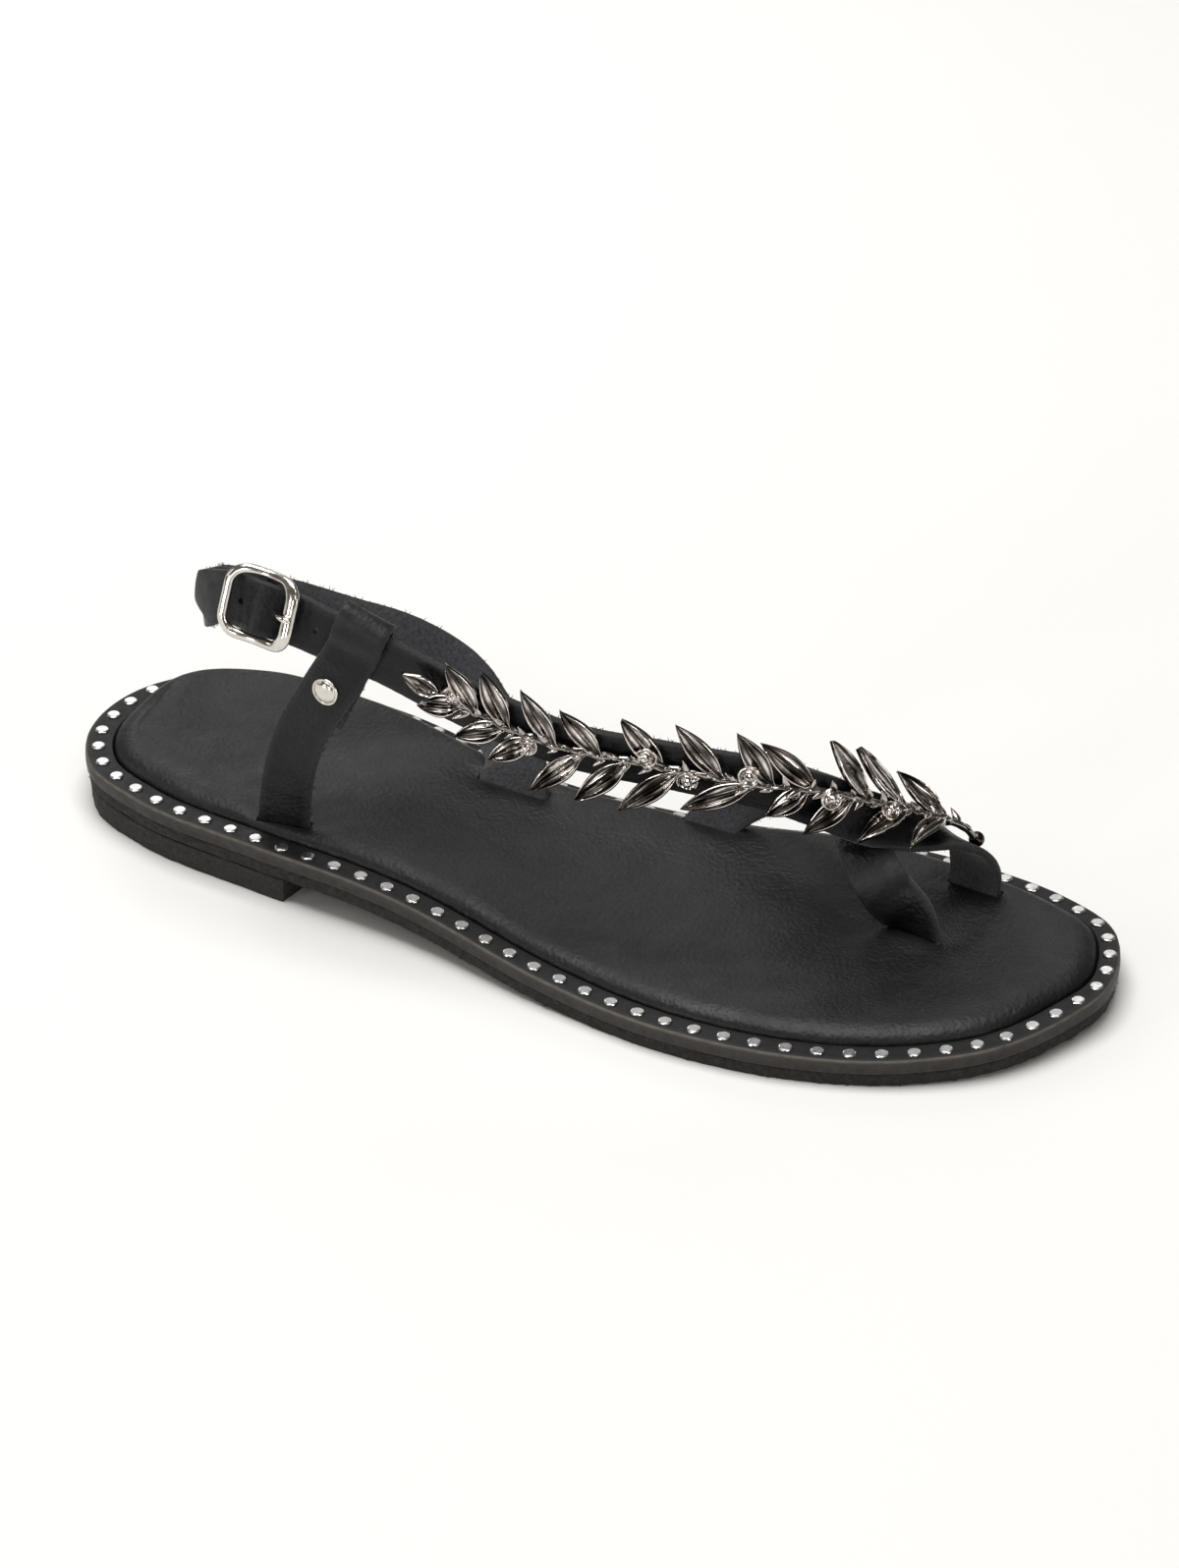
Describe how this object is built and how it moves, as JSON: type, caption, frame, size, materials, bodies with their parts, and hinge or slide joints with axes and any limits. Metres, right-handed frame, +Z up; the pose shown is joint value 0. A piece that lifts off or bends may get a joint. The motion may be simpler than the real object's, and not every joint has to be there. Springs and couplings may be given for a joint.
{
  "type": "leather sandal",
  "caption": "Flat leather sandal for the right foot with padded insole, studded welt, crossed straps, side keeper, buckled heel strap and a cast metal leaf spray over the instep.",
  "frame": {"origin": "on the floor, under the middle of the sole's bounding box", "axes": "+X to the toe, +Y to the medial side, +Z up"},
  "size_m": [0.259, 0.0972, 0.0846],
  "materials": {
    "sole_leather": "rough cut edge, matt",
    "heel_rubber": "matt",
    "welt_leather": "waxed, semi-matt",
    "insole_leather": "smooth, satin",
    "strap_leather": "smooth grain outside, suede inside",
    "nickel": "polished nickel",
    "gunmetal": "dark nickel with worn bright rims"
  },
  "bodies": {
    "root": {"outsole": "sole_leather", "heel": "heel_rubber", "welt": "welt_leather", "insole": "insole_leather", "upper": "strap_leather", "heel_strap": "strap_leather", "buckle_frame": "nickel", "buckle_prong": "nickel", "upright_rivet": "nickel", "heel_strap_rivet": "nickel", "leaf_spray": "gunmetal", "spray_rivet_1": "nickel", "spray_rivet_2": "nickel", "spray_rivet_3": "nickel", "spray_rivet_4": "nickel"}
  },
  "joints": []
}
